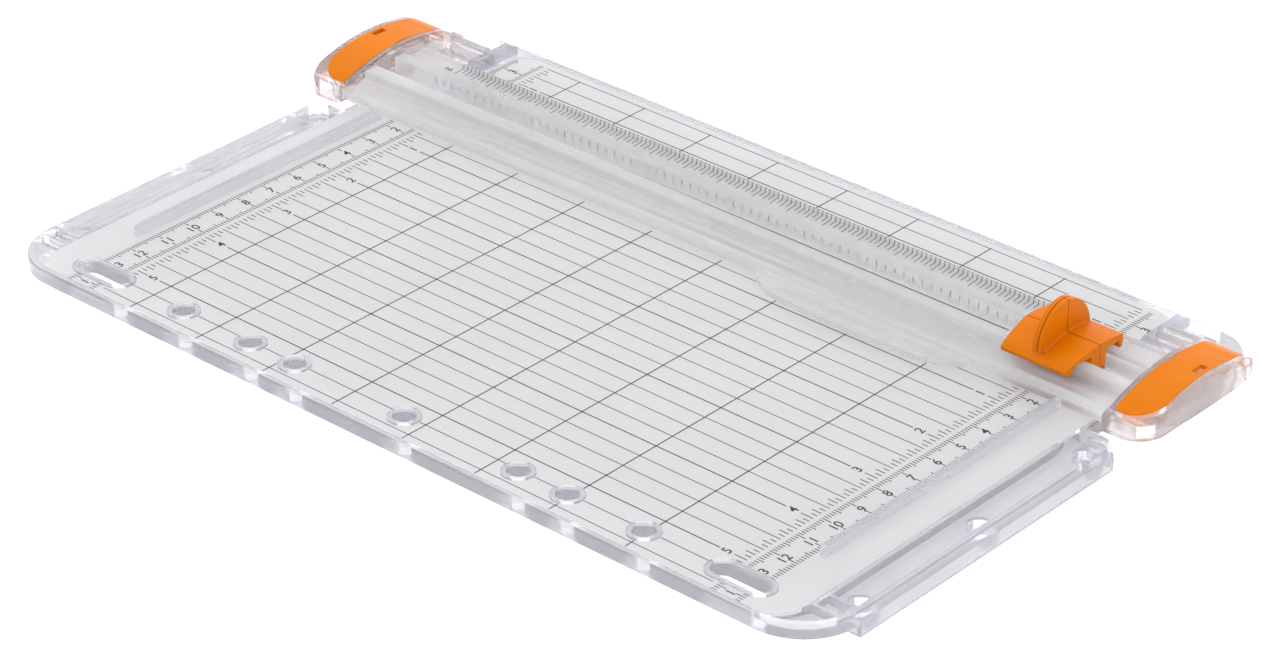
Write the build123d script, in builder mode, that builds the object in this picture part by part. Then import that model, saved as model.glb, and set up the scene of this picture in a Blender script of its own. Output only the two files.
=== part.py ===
"""Desk paper trimmer: clear base with a gridded deck, hinged clear cutting rail, sliding blade carriage.

+Z is up, -Y is the side the user works from, X runs along the cut. The origin is the middle of the
footprint on the table. Most shapes are drawn from the cut line on the deck, the plane DECK below.
"""

import os

from build123d import *

os.makedirs("parts", exist_ok=True)

# ---------------------------------------------------------------- overall sizes (mm)
BASE_HALF_W = 144.5  # outer side walls
BASE_FRONT = -144.3  # measured from the cut line
BASE_REAR = 44.0
DECK_Z = 8.2  # deck surface above the table
PLATE_T = 4.0  # thickness of the clear plate
SKIRT_GAP = 0.4  # walls end this far above the table, the feet carry the base
CUT_Y = -(BASE_FRONT + BASE_REAR) / 2

# Plan and cross-section planes that share the cut line on the deck as origin.
DECK = Plane(origin=(0, CUT_Y, DECK_Z))
CUT = Plane(origin=(0, CUT_Y, DECK_Z), x_dir=(0, 1, 0), z_dir=(1, 0, 0))
PLATE_BOTTOM = DECK.offset(-PLATE_T)
TABLE = DECK.offset(-DECK_Z)

# deck panels
PANEL_HALF_W = 132.9
PANEL_FRONT = -142.2
PANEL_T = 1.2
PANEL_CORNER_R = 9.5
REAR_PANEL_HALF_W = 120.0
REAR_PANEL_EDGE = 40.5
STRIP_HALF_W = 3.0
STRIP_HALF_L = 131.5

# wings (the lower side channels of the base)
WING_REAR = -21.0
CORE_HALF_W = 134.4
HOUSING_FRONT = 5.0
HOUSING_REAR = 36.5
CHANNEL_DEPTH = 2.4
RIM_W = 2.0
RUNNER_FRONT = -125.8
WALL = 1.7

# ring binder holes along the front edge
HOLE_LINE = -134.0
HOLE_R = 3.2
COLLAR_R = 4.75
HOLE_X = (0.0, 40.0, 56.7, 82.2)
SLOT_X = 113.6
SLOT_LENGTH = 18.4
COLLAR_H = 0.35
FOOT_Y = (-119.0, -72.0, -28.0, 30.2)

# rear hinge of the rail
HINGE_Y = 28.0
HINGE_Z = 2.0
PIN_R = 1.5
BARREL_R = 3.3
LUG_IN = 121.0
LUG_OUT = 123.4

# rail
RAIL_HALF_L = 136.9
RAIL_LIFT = 0.5
SLOT_FRONT = -4.0
SLOT_REAR = 3.4
SLOT_FLOOR = 1.7
SLIT_HALF_L = 130.0
SLIT_HALF_W = 0.6

# end caps
CAP_IN = 137.3
CAP_OUT = 151.8
CAP_WALL = 1.5
CAP_NOSE_R = 9.0  # outer front corner in plan
CAP_CORNER_R = 4.5
CAP_INNER_R = 1.8
CAP_FRONT = -20.4
CAP_REAR = 30.6
INSERT_IN = 138.8
INSERT_OUT = 150.2
INSERT_T = 1.3
INSERT_FRONT = -16.3
INSERT_REAR = 29.0

# carriage
CARRIAGE_X = 110.4
CARRIAGE_W = 23.8
CARRIAGE_FRONT_W = 21.2
FIN_X = CARRIAGE_X - 0.3
FIN_T = 2.9
FIN_TOP = 20.3
SEAM = 0.35  # depth of the grooves where the two shells and the fin's skins meet
LEG_FRONT = -3.3
LEG_REAR = 2.8
LEG_BOTTOM = 4.0
BLADE_R = 4.5
BLADE_T = 0.3
BLADE_Z = 5.2
AXLE_R = 0.8
HUB_R = 2.0
HUB_HALF_W = 0.8


# ================================================================ base
def collars(radius, length):
    """Round and slotted openings for ring binders, drawn on the current sketch."""
    with Locations(*[(side * x, HOLE_LINE) for x in HOLE_X for side in (-1, 1) if x or side > 0]):
        Circle(radius)
    with Locations((-SLOT_X, HOLE_LINE), (SLOT_X, HOLE_LINE)):
        SlotOverall(length, 2 * radius)


with BuildPart() as base_tray:
    # Plate: wide front with the two wings, narrow waist below the cap fronts, wide hinge end.
    with BuildSketch(PLATE_BOTTOM):
        with BuildLine():
            Polyline(
                (0, BASE_FRONT),
                (BASE_HALF_W, BASE_FRONT),
                (BASE_HALF_W, WING_REAR),
                (CORE_HALF_W, WING_REAR),
                (CORE_HALF_W, HOUSING_FRONT),
                (BASE_HALF_W, HOUSING_FRONT),
                (BASE_HALF_W, BASE_REAR),
                (0, BASE_REAR),
            )
            mirror(about=Plane.YZ)
        make_face()
    extrude(amount=PLATE_T)
    corners = base_tray.edges().filter_by(Axis.Z)
    fillet(corners.filter_by(lambda e: e.center().Y < -90), 18)
    fillet(base_tray.edges().filter_by(Axis.Z).filter_by(lambda e: e.center().Y > 90), 14)
    wing_ends = base_tray.edges().filter_by(Axis.Z).filter_by(
        lambda e: abs(e.center().X) > 144 and abs(e.center().Y - CUT_Y) < 25
    )
    fillet(wing_ends, 5)
    waist = base_tray.edges().filter_by(Axis.Z).filter_by(
        lambda e: abs(abs(e.center().X) - CORE_HALF_W) < 0.1
    )
    fillet(waist, 1.5)
    fillet(base_tray.faces().sort_by(Axis.Z)[-1].outer_wire().edges(), 0.8)

    # Side channels, cut down between the deck rim and the outer rim and crossed by two low ribs.
    with BuildSketch(DECK):
        with Locations((0, (BASE_FRONT + WING_REAR) / 2)):
            RectangleRounded(2 * (BASE_HALF_W - RIM_W), WING_REAR - BASE_FRONT - 2 * RIM_W, 16)
        with Locations((0, (PANEL_FRONT + WING_REAR) / 2)):
            RectangleRounded(
                2 * CORE_HALF_W, WING_REAR - PANEL_FRONT + 3, 16.4, mode=Mode.SUBTRACT
            )
        with Locations((0, WING_REAR), (0, -131.0), (0, -125.2)):
            Rectangle(2 * BASE_HALF_W, 1.2, mode=Mode.SUBTRACT)
    extrude(amount=-CHANNEL_DEPTH, mode=Mode.SUBTRACT)

    # Recesses for the two printed panels and the cutting strip.
    with BuildSketch(DECK):
        with Locations((0, (PANEL_FRONT - 5.5) / 2)):
            RectangleRounded(2 * PANEL_HALF_W + 0.2, -5.5 - PANEL_FRONT + 0.2, PANEL_CORNER_R)
        with Locations((0, -15.4)):
            Rectangle(2 * PANEL_HALF_W + 0.2, 20)
        collars(COLLAR_R, SLOT_LENGTH + 2 * (COLLAR_R - HOLE_R))
    extrude(amount=-PANEL_T - 0.02, mode=Mode.SUBTRACT)
    with BuildSketch(DECK):
        with Locations((0, (REAR_PANEL_EDGE + 5.5) / 2)):
            RectangleRounded(2 * REAR_PANEL_HALF_W + 0.2, REAR_PANEL_EDGE - 5.5 + 0.2, 8)
        with Locations((0, 11.4)):
            Rectangle(2 * REAR_PANEL_HALF_W + 0.2, 12)
    extrude(amount=-PANEL_T - 0.02, mode=Mode.SUBTRACT)
    with BuildSketch(DECK):
        Rectangle(2 * STRIP_HALF_L + 0.2, 2 * STRIP_HALF_W + 0.2)
    extrude(amount=-2.0, mode=Mode.SUBTRACT)

    # Collars around the binder holes stand just proud of the panel.
    with BuildSketch(DECK.offset(-PLATE_T)):
        collars(COLLAR_R - 0.15, SLOT_LENGTH + 2 * (COLLAR_R - HOLE_R) - 0.3)
    extrude(amount=PLATE_T + COLLAR_H)
    with BuildSketch(DECK.offset(-PLATE_T - 1)):
        collars(HOLE_R, SLOT_LENGTH)
    extrude(amount=PLATE_T + 3, mode=Mode.SUBTRACT)

    # Lower landing under each end cap, and the pocket each hinge barrel turns in.
    with BuildSketch(DECK):
        for side in (-1, 1):
            with Locations((side * (CORE_HALF_W + 8.4), (HOUSING_FRONT + 32) / 2 - 3)):
                Rectangle(2 * 5.7, 32 - HOUSING_FRONT + 6)
    extrude(amount=-2.2, mode=Mode.SUBTRACT)
    with BuildSketch(DECK):
        for side in (-1, 1):
            with Locations((side * (LUG_OUT + 7.1), HINGE_Y)):
                Rectangle(14.0, 8.6)
    extrude(amount=-2.6, mode=Mode.SUBTRACT)

    # Runner walls under the wings: an outer wall and a web at each end.
    with BuildSketch(TABLE.offset(SKIRT_GAP)):
        for side in (-1, 1):
            with Locations((side * (BASE_HALF_W - WALL / 2), (RUNNER_FRONT + WING_REAR - 2) / 2)):
                Rectangle(WALL, WING_REAR - 2 - RUNNER_FRONT)
            with Locations(
                (side * (BASE_HALF_W - 3.7), RUNNER_FRONT + 0.7),
                (side * (BASE_HALF_W - 5.2), WING_REAR - 0.8),
            ):
                Rectangle(7.4, 1.4)
    extrude(amount=DECK_Z - PLATE_T - SKIRT_GAP)

    # Hinge housing: a wall all round below the plate.
    with BuildSketch(TABLE.offset(SKIRT_GAP)):
        with Locations((0, (HOUSING_FRONT + HOUSING_REAR) / 2)):
            RectangleRounded(2 * BASE_HALF_W, HOUSING_REAR - HOUSING_FRONT, 5)
            RectangleRounded(
                2 * (BASE_HALF_W - WALL), HOUSING_REAR - HOUSING_FRONT - 2 * WALL, 3.4, mode=Mode.SUBTRACT
            )
    extrude(amount=DECK_Z - PLATE_T - SKIRT_GAP)

    # Bosses that the feet are stuck to.
    with BuildSketch(TABLE.offset(1.6)):
        with Locations(*[(side * 139.0, y) for side in (-1, 1) for y in FOOT_Y]):
            Circle(3.5)
    extrude(amount=DECK_Z - PLATE_T - 1.6)
base_tray.part.label = "base_tray"
export_step(base_tray.part, "parts/base_tray.step")

with BuildPart() as front_grid_panel:
    with BuildSketch(DECK.offset(-PANEL_T)):
        with Locations((0, (PANEL_FRONT - 5.5) / 2)):
            RectangleRounded(2 * PANEL_HALF_W, -5.5 - PANEL_FRONT, PANEL_CORNER_R)
        with Locations((0, -15.5)):
            Rectangle(2 * PANEL_HALF_W, 20)
        with Locations(*[(side * x, HOLE_LINE) for x in HOLE_X for side in (-1, 1) if x or side > 0]):
            Circle(COLLAR_R, mode=Mode.SUBTRACT)
        with Locations((-SLOT_X, HOLE_LINE), (SLOT_X, HOLE_LINE)):
            SlotOverall(SLOT_LENGTH + 2 * (COLLAR_R - HOLE_R), 2 * COLLAR_R, mode=Mode.SUBTRACT)
    extrude(amount=PANEL_T)
front_grid_panel.part.label = "front_grid_panel"
export_step(front_grid_panel.part, "parts/front_grid_panel.step")

with BuildPart() as rear_grid_panel:
    with BuildSketch(DECK.offset(-PANEL_T)):
        with Locations((0, (REAR_PANEL_EDGE + 5.5) / 2)):
            RectangleRounded(2 * REAR_PANEL_HALF_W, REAR_PANEL_EDGE - 5.5, 8)
        with Locations((0, 11.5)):
            Rectangle(2 * REAR_PANEL_HALF_W, 12)
    extrude(amount=PANEL_T)
rear_grid_panel.part.label = "rear_grid_panel"
export_step(rear_grid_panel.part, "parts/rear_grid_panel.step")

with BuildPart() as cutting_strip:
    with BuildSketch(DECK.offset(-2.0)):
        Rectangle(2 * STRIP_HALF_L, 2 * STRIP_HALF_W)
    extrude(amount=1.95)
    with BuildSketch(DECK):
        Rectangle(2 * STRIP_HALF_L + 1, 1.0)
    extrude(amount=-0.9, mode=Mode.SUBTRACT)
cutting_strip.part.label = "cutting_strip"
export_step(cutting_strip.part, "parts/cutting_strip.step")

# Paper fences: long clear ridges the sheet is squared against, one at each side of the grid.
FENCE_X = 122.5
FENCE_W = 1.9
FENCE_H = 3.0
FENCE_FRONT = -113.9
FENCE_REAR = -17.7
with BuildPart() as paper_fence_right:
    with BuildSketch(DECK):
        with Locations((FENCE_X, (FENCE_FRONT + FENCE_REAR) / 2)):
            Rectangle(FENCE_W, FENCE_REAR - FENCE_FRONT)
    extrude(amount=FENCE_H, taper=2)
    fillet(paper_fence_right.edges().group_by(Axis.Z)[-1], 0.3)
paper_fence_right.part.label = "paper_fence_right"
export_step(paper_fence_right.part, "parts/paper_fence_right.step")

with BuildPart() as paper_fence_left:
    mirror(paper_fence_right.part, about=Plane.YZ)
paper_fence_left.part.label = "paper_fence_left"
export_step(paper_fence_left.part, "parts/paper_fence_left.step")

# Hinge lugs: short fences behind the rail that also hold the hinge pins.
with BuildPart() as hinge_lug_right:
    with BuildSketch(CUT.offset(LUG_IN)):
        with BuildLine():
            Polyline((19.8, 0), (39.6, 0), (39.6, 2.6), (36.8, 3.9), (21.6, 3.9), (19.8, 3.2), (19.8, 0))
        make_face()
        with Locations((HINGE_Y, HINGE_Z)):
            Circle(PIN_R, mode=Mode.SUBTRACT)
    extrude(amount=LUG_OUT - LUG_IN)
hinge_lug_right.part.label = "hinge_lug_right"
export_step(hinge_lug_right.part, "parts/hinge_lug_right.step")

with BuildPart() as hinge_lug_left:
    mirror(hinge_lug_right.part, about=Plane.YZ)
hinge_lug_left.part.label = "hinge_lug_left"
export_step(hinge_lug_left.part, "parts/hinge_lug_left.step")

with BuildPart() as hinge_pins:
    for start, length in ((LUG_IN + 0.2, 14.8), (-LUG_IN - 0.2, -14.8)):
        with BuildSketch(CUT.offset(start)):
            with Locations((HINGE_Y, HINGE_Z)):
                Circle(PIN_R)
        extrude(amount=length)
hinge_pins.part.label = "hinge_pins"
export_step(hinge_pins.part, "parts/hinge_pins.step")

with BuildPart() as feet:
    with BuildSketch(TABLE):
        with Locations(*[(side * 139.0, y) for side in (-1, 1) for y in FOOT_Y]):
            Circle(3.3)
    extrude(amount=1.6)
    chamfer(feet.edges().group_by(Axis.Z)[0], 0.3)
feet.part.label = "feet"
export_step(feet.part, "parts/feet.step")

# ================================================================ rail
with BuildPart() as cutting_rail:
    # Cross-section: sloping front, front ridge, blade slot, rear ridge, ruler ledge with a rear lip.
    with BuildSketch(CUT.offset(-RAIL_HALF_L)):
        with BuildLine():
            Polyline(
                (-17.0, RAIL_LIFT),
                (-17.0, 1.3),
                (-15.7, 2.5),
                (-10.3, 4.8),
                (-9.2, 4.9),
                (-9.0, 7.0),
                (SLOT_FRONT, 7.0),
                (SLOT_FRONT, SLOT_FLOOR),
                (SLOT_REAR, SLOT_FLOOR),
                (SLOT_REAR, 7.0),
                (7.3, 7.0),
                (7.5, 4.0),
                (15.2, 4.6),
                (15.3, 5.6),
                (16.3, 5.6),
                (16.5, RAIL_LIFT),
                (-17.0, RAIL_LIFT),
            )
        make_face()
    extrude(amount=2 * RAIL_HALF_L)
    # Finger lip on the front edge, right of the middle.
    with BuildSketch(DECK.offset(1.0)):
        with BuildLine():
            Spline((19.5, -16.4), (22.5, -20.2), (29.5, -24.0), (42.0, -25.7), (58.0, -26.2), (75.0, -25.4),
                   (86.0, -23.6), (92.0, -20.0), (94.0, -16.4))
            Line((94.0, -16.4), (19.5, -16.4))
        make_face()
    extrude(amount=1.7)
    # Slit the blade reaches through.
    with BuildSketch(DECK):
        Rectangle(2 * SLIT_HALF_L, 2 * SLIT_HALF_W)
    extrude(amount=3, mode=Mode.SUBTRACT)
    # Two lightening grooves along the underside.
    with BuildSketch(DECK.offset(RAIL_LIFT)):
        with Locations((0, -9.6), (0, 11.4)):
            Rectangle(2 * (RAIL_HALF_L - 4), 5.0)
    extrude(amount=1.6, mode=Mode.SUBTRACT)
    # Tenons that the end caps are screwed to.
    with BuildSketch(DECK.offset(RAIL_LIFT)):
        for side in (-1, 1):
            with Locations((side * (RAIL_HALF_L + 5.5), 2.0)):
                Rectangle(11.0, 20.0)
    extrude(amount=3.0)
    with BuildSketch(DECK.offset(RAIL_LIFT)):
        with Locations(*[(side * 143.2, y) for side in (-1, 1) for y in (-4.6, 8.6)]):
            Circle(1.12)
    extrude(amount=3.0, mode=Mode.SUBTRACT)
    with BuildSketch(DECK.offset(RAIL_LIFT)):
        with Locations(*[(side * 143.2, y) for side in (-1, 1) for y in (-4.6, 8.6)]):
            Circle(2.2)
    extrude(amount=1.2, mode=Mode.SUBTRACT)
    # Seats for the ends of the cut-line wire, in the slot floor.
    with BuildSketch(CUT.offset(-RAIL_HALF_L)):
        with Locations((1.3, SLOT_FLOOR)):
            Circle(0.22)
    extrude(amount=2 * RAIL_HALF_L, mode=Mode.SUBTRACT)
cutting_rail.part.label = "cutting_rail"
export_step(cutting_rail.part, "parts/cutting_rail.step")

with BuildPart() as cut_line_wire:
    with BuildSketch(CUT.offset(-RAIL_HALF_L + 0.6)):
        with Locations((1.3, SLOT_FLOOR)):
            Circle(0.2)
    extrude(amount=2 * RAIL_HALF_L - 1.2)
cut_line_wire.part.label = "cut_line_wire"
export_step(cut_line_wire.part, "parts/cut_line_wire.step")


# ================================================================ end caps
def cap_profile():
    """Side profile of an end cap: rounded nose, long arch, and a rear that drops to the hinge."""
    with BuildLine() as profile:
        ThreePointArc((CAP_FRONT, 2.0), (-19.3, 4.1), (-16.5, 5.1))
        ThreePointArc((-16.5, 5.1), (-8.5, 7.8), (0.0, 9.5))
        ThreePointArc((0.0, 9.5), (9.5, 10.0), (20.0, 8.9))
        ThreePointArc((20.0, 8.9), (26.6, 6.9), (CAP_REAR, 3.4))
        Polyline((CAP_REAR, 3.4), (CAP_REAR, 1.9), (22.5, 0.4), (CAP_FRONT, 0.4), (CAP_FRONT, 2.0))
    return profile.edges()


def cap_plan(plan, grow, front, rear, inner, outer):
    """Plan outline of an end cap or of its insert, with a wide round nose at the outer front corner."""
    with Locations(((inner + outer) / 2, (front + rear) / 2)):
        Rectangle(outer - inner + 2 * grow, rear - front + 2 * grow)
    fillet(plan.vertices().sort_by(Axis.Y)[-2:], CAP_CORNER_R + grow)
    fillet(plan.vertices().sort_by(Axis.Y)[:2].sort_by(Axis.X)[-1], CAP_NOSE_R + grow)
    fillet(plan.vertices().sort_by(Axis.Y)[:2].sort_by(Axis.X)[0], CAP_INNER_R + grow)


with BuildPart() as cap_hollow:
    with BuildSketch(CUT.offset(CAP_IN + CAP_WALL)):
        make_face(cap_profile())
        offset(amount=-(CAP_WALL + INSERT_T + 0.1), mode=Mode.REPLACE)
        with Locations(((CAP_FRONT + CAP_REAR) / 2, 2.0)):
            Rectangle(CAP_REAR - CAP_FRONT - 2 * (CAP_WALL + INSERT_T), 4.0)
    extrude(amount=CAP_OUT - CAP_IN - 2 * CAP_WALL)
    with BuildSketch(DECK) as plan:
        cap_plan(plan, -CAP_WALL, CAP_FRONT, CAP_REAR, CAP_IN, CAP_OUT)
    extrude(amount=12, mode=Mode.INTERSECT)

with BuildPart() as insert_seat:
    with BuildSketch(CUT.offset(CAP_IN)):
        with Locations(((CAP_FRONT + CAP_REAR) / 2, 7.0)):
            Rectangle(CAP_REAR - CAP_FRONT, 14.0)
    extrude(amount=CAP_OUT - CAP_IN)
    with BuildSketch(CUT.offset(CAP_IN)):
        make_face(cap_profile())
        offset(amount=-(INSERT_T + 0.1), mode=Mode.REPLACE)
        with Locations(((CAP_FRONT + CAP_REAR) / 2, 1.5)):
            Rectangle(CAP_REAR - CAP_FRONT + 2, 3.0)
    extrude(amount=CAP_OUT - CAP_IN, mode=Mode.SUBTRACT)
    with BuildSketch(DECK) as plan:
        cap_plan(plan, 0.1, INSERT_FRONT, INSERT_REAR, INSERT_IN, INSERT_OUT)
    extrude(amount=14, mode=Mode.INTERSECT)

with BuildPart() as end_cap_right:
    with BuildSketch(CUT.offset(CAP_IN - 1)):
        make_face(cap_profile())
    extrude(amount=CAP_OUT - CAP_IN + 2)
    with BuildSketch(DECK.offset(-1)) as plan:
        cap_plan(plan, 0, CAP_FRONT - 0.2, CAP_REAR + 0.2, CAP_IN, CAP_OUT)
    extrude(amount=14, mode=Mode.INTERSECT)
    add(insert_seat.part, mode=Mode.SUBTRACT)
    add(cap_hollow.part, mode=Mode.SUBTRACT)
    # Screw bosses from the roof down to the rail tenon.
    for boss_y, boss_h in ((-4.6, 3.3), (8.6, 4.6)):
        with BuildSketch(DECK.offset(RAIL_LIFT + 3.0)):
            with Locations((143.2, boss_y)):
                Circle(2.4)
        extrude(amount=boss_h)
    # Window in the inner wall that the tenon passes through.
    with BuildSketch(CUT.offset(CAP_IN - 0.2)):
        with Locations((2.0, 1.8)):
            Rectangle(20.2, 3.6)
    extrude(amount=CAP_WALL + 0.4, mode=Mode.SUBTRACT)
    # Hinge barrel reaching in to the lug, with its bore.
    with BuildSketch(CUT.offset(LUG_OUT + 0.4)):
        with Locations((HINGE_Y, HINGE_Z)):
            Circle(BARREL_R)
    extrude(amount=CAP_IN - LUG_OUT + 0.6)
    with BuildSketch(CUT.offset(CAP_IN - 1.8)):
        with Locations((HINGE_Y, HINGE_Z)):
            Circle(BARREL_R + 0.7)
    extrude(amount=1.95)
    with BuildSketch(CUT.offset(LUG_OUT)):
        with Locations((HINGE_Y, HINGE_Z)):
            Circle(PIN_R + 0.06)
    extrude(amount=12.8, mode=Mode.SUBTRACT)
    # Pilot holes for the screws.
    with BuildSketch(DECK.offset(RAIL_LIFT)):
        with Locations((143.2, -4.6), (143.2, 8.6)):
            Circle(1.12)
    extrude(amount=5.4, mode=Mode.SUBTRACT)
    # Windows in the seat for the two clips of the insert.
    with BuildSketch(DECK):
        with Locations((143.2, -11.5), (143.2, 19.5)):
            Rectangle(4.3, 2.1)
    extrude(amount=12, mode=Mode.SUBTRACT)
end_cap_right.part.label = "end_cap_right"
export_step(end_cap_right.part, "parts/end_cap_right.step")

with BuildPart() as end_cap_left:
    mirror(end_cap_right.part, about=Plane.YZ)
end_cap_left.part.label = "end_cap_left"
export_step(end_cap_left.part, "parts/end_cap_left.step")

with BuildPart() as grip_insert_right:
    with BuildSketch(CUT.offset(CAP_IN - 1)):
        make_face(cap_profile())
    extrude(amount=CAP_OUT - CAP_IN + 2)
    with BuildSketch(CUT.offset(CAP_IN - 2)):
        make_face(cap_profile())
        offset(amount=-INSERT_T, mode=Mode.REPLACE)
        with Locations(((CAP_FRONT + CAP_REAR) / 2, 1.6)):
            Rectangle(CAP_REAR - CAP_FRONT + 2, 3.2)
    extrude(amount=CAP_OUT - CAP_IN + 4, mode=Mode.SUBTRACT)
    with BuildSketch(DECK) as plan:
        cap_plan(plan, 0, INSERT_FRONT, INSERT_REAR, INSERT_IN, INSERT_OUT)
    extrude(amount=14, mode=Mode.INTERSECT)
    # Clips that go down through the cap.
    for clip_y, clip_top in ((-11.5, 6.1), (19.5, 8.3)):
        with BuildSketch(DECK.offset(clip_top - 3.4)):
            with Locations((143.2, clip_y)):
                Rectangle(4.0, 1.8)
        extrude(amount=3.4)
    # Small window near the outer edge and a relief in the inner edge.
    with BuildSketch(DECK):
        with Locations((147.9, 8.2)):
            Rectangle(2.0, 4.7)
        with Locations((INSERT_IN, 8.2)):
            Rectangle(0.8, 4.7)
    extrude(amount=14, mode=Mode.SUBTRACT)
grip_insert_right.part.label = "grip_insert_right"
export_step(grip_insert_right.part, "parts/grip_insert_right.step")

with BuildPart() as grip_insert_left:
    mirror(grip_insert_right.part, about=Plane.YZ)
grip_insert_left.part.label = "grip_insert_left"
export_step(grip_insert_left.part, "parts/grip_insert_left.step")

with BuildPart() as cap_screws:
    with BuildSketch(DECK.offset(RAIL_LIFT + 0.15)):
        with Locations(*[(side * 143.2, y) for side in (-1, 1) for y in (-4.6, 8.6)]):
            Circle(2.0)
    extrude(amount=1.05)
    with BuildSketch(DECK.offset(RAIL_LIFT + 1.0)):
        with Locations(*[(side * 143.2, y) for side in (-1, 1) for y in (-4.6, 8.6)]):
            Circle(1.1)
    extrude(amount=4.2)
cap_screws.part.label = "cap_screws"
export_step(cap_screws.part, "parts/cap_screws.step")

# ================================================================ carriage
CARRIAGE_LEFT = CARRIAGE_X - CARRIAGE_W / 2
# Upright planes that face along Y: one through the blade centre, one at deck level through the fin.
BLADE_PLANE = Plane(origin=(CARRIAGE_X, CUT_Y, DECK_Z + BLADE_Z), x_dir=(-1, 0, 0), z_dir=(0, 1, 0))
FIN_PLANE = Plane(origin=(FIN_X, CUT_Y, DECK_Z), x_dir=(-1, 0, 0), z_dir=(0, 1, 0))


def fin_profile():
    """Side outline of the thumb fin, closed along a line inside the roof."""
    with BuildLine() as profile:
        ThreePointArc((-10.9, 8.6), (-10.0, 13.8), (-6.9, 18.0))
        ThreePointArc((-6.9, 18.0), (-0.8, FIN_TOP), (5.2, 18.3))
        ThreePointArc((5.2, 18.3), (8.5, 14.6), (10.3, 9.9))
        Polyline((10.3, 9.9), (10.2, 9.2), (0.0, 9.2), (-10.0, 8.4), (-10.9, 7.7), (-10.9, 8.6))
    return profile.edges()


# Outer limits of the carriage: its plan is drawn in a little towards the front edge.
with BuildPart() as carriage_limits:
    with BuildSketch(DECK):
        with BuildLine():
            Polyline(
                (CARRIAGE_X - CARRIAGE_FRONT_W / 2, -13.5),
                (CARRIAGE_X + CARRIAGE_FRONT_W / 2, -13.5),
                (CARRIAGE_X + CARRIAGE_W / 2, -1.0),
                (CARRIAGE_X + CARRIAGE_W / 2, 12.0),
                (CARRIAGE_X - CARRIAGE_W / 2, 12.0),
                (CARRIAGE_X - CARRIAGE_W / 2, -1.0),
                close=True,
            )
        make_face()
    extrude(amount=25)

# Blade well, axle seat, guide pockets and dowel holes that both shells share.
with BuildPart() as carriage_cavities:
    with BuildSketch(BLADE_PLANE):
        Circle(BLADE_R + 0.3)
    extrude(amount=0.9, both=True)
    with BuildSketch(DECK.offset(3)):
        with Locations((CARRIAGE_X, 0)):
            Rectangle(2 * BLADE_R + 0.6, 1.8)
    extrude(amount=BLADE_Z - 3)
    with BuildSketch(BLADE_PLANE):
        Circle(AXLE_R)
    extrude(amount=2.3, both=True)
    with BuildSketch(DECK.offset(3)):
        with Locations((CARRIAGE_X - 8.5, 0), (CARRIAGE_X + 8.5, 0)):
            Rectangle(3.2, 3.2)
    extrude(amount=6.0)
    with BuildSketch(FIN_PLANE):
        with Locations((0, 12.6), (0, 16.6)):
            Circle(0.75)
    extrude(amount=3.4, both=True)

# Seam where the two shells meet: a fine groove over the roof, down the ends and up both sides of the fin.
with BuildPart() as shell_seam:
    with BuildSketch(FIN_PLANE):
        Rectangle(60, 60)
        with Locations((FIN_X - CARRIAGE_X, (LEG_BOTTOM + 10.8) / 2)):
            Rectangle(CARRIAGE_W - 2 * SEAM, 10.8 - LEG_BOTTOM - 2 * SEAM, mode=Mode.SUBTRACT)
        with Locations((0, 10)):
            Rectangle(FIN_T - 2 * SEAM, 2 * (FIN_TOP - SEAM - 10), mode=Mode.SUBTRACT)
    extrude(amount=0.13, both=True)

# Groove round the rim of the fin.
with BuildPart() as rim_groove:
    with BuildSketch(CUT.offset(FIN_X - 0.15)):
        with Locations((0, 15.5)):
            Rectangle(30, 13)
    extrude(amount=0.3)
    with BuildSketch(CUT.offset(FIN_X - 0.2)):
        make_face(fin_profile())
        offset(amount=-SEAM, mode=Mode.REPLACE)
        with Locations((0, 10)):
            Rectangle(19.6, 3)
    extrude(amount=0.4, mode=Mode.SUBTRACT)

with BuildPart() as carriage_front_shell:
    with BuildSketch(CUT.offset(CARRIAGE_LEFT)):
        with BuildLine():
            roof = Spline((-13.0, 7.1), (-7.0, 9.6), (0.0, 10.8), tangents=((0.75, 0.66), (1, 0.03)))
            Polyline(
                roof @ 1,
                (0, LEG_BOTTOM),
                (LEG_FRONT, LEG_BOTTOM),
                (LEG_FRONT, 8.5),
                (-10.0, 8.2),
                (-10.8, 6.1),
                (-12.5, 6.1),
                roof @ 0,
            )
        make_face()
    extrude(amount=CARRIAGE_W)
    with BuildSketch(CUT.offset(FIN_X - FIN_T / 2)):
        make_face(fin_profile())
        with Locations((15, 15)):
            Rectangle(30, 40, mode=Mode.SUBTRACT)
    extrude(amount=FIN_T)
    add(carriage_limits.part, mode=Mode.INTERSECT)
    add(carriage_cavities.part, mode=Mode.SUBTRACT)
    add(shell_seam.part, mode=Mode.SUBTRACT)
    add(rim_groove.part, mode=Mode.SUBTRACT)
carriage_front_shell.part.label = "carriage_front_shell"
export_step(carriage_front_shell.part, "parts/carriage_front_shell.step")

with BuildPart() as carriage_rear_shell:
    with BuildSketch(CUT.offset(CARRIAGE_LEFT)):
        with BuildLine():
            roof = Spline((0.0, 10.8), (5.5, 10.6), (10.3, 9.8), tangents=((1, 0.03), (1, -0.2)))
            Polyline(
                roof @ 1,
                (10.0, 6.2),
                (8.9, 6.2),
                (8.3, 8.5),
                (LEG_REAR, 8.5),
                (LEG_REAR, LEG_BOTTOM),
                (0, LEG_BOTTOM),
                roof @ 0,
            )
        make_face()
    extrude(amount=CARRIAGE_W)
    with BuildSketch(CUT.offset(FIN_X - FIN_T / 2)):
        make_face(fin_profile())
        with Locations((-15, 15)):
            Rectangle(30, 40, mode=Mode.SUBTRACT)
    extrude(amount=FIN_T)
    add(carriage_limits.part, mode=Mode.INTERSECT)
    add(carriage_cavities.part, mode=Mode.SUBTRACT)
    add(shell_seam.part, mode=Mode.SUBTRACT)
    add(rim_groove.part, mode=Mode.SUBTRACT)
carriage_rear_shell.part.label = "carriage_rear_shell"
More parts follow.
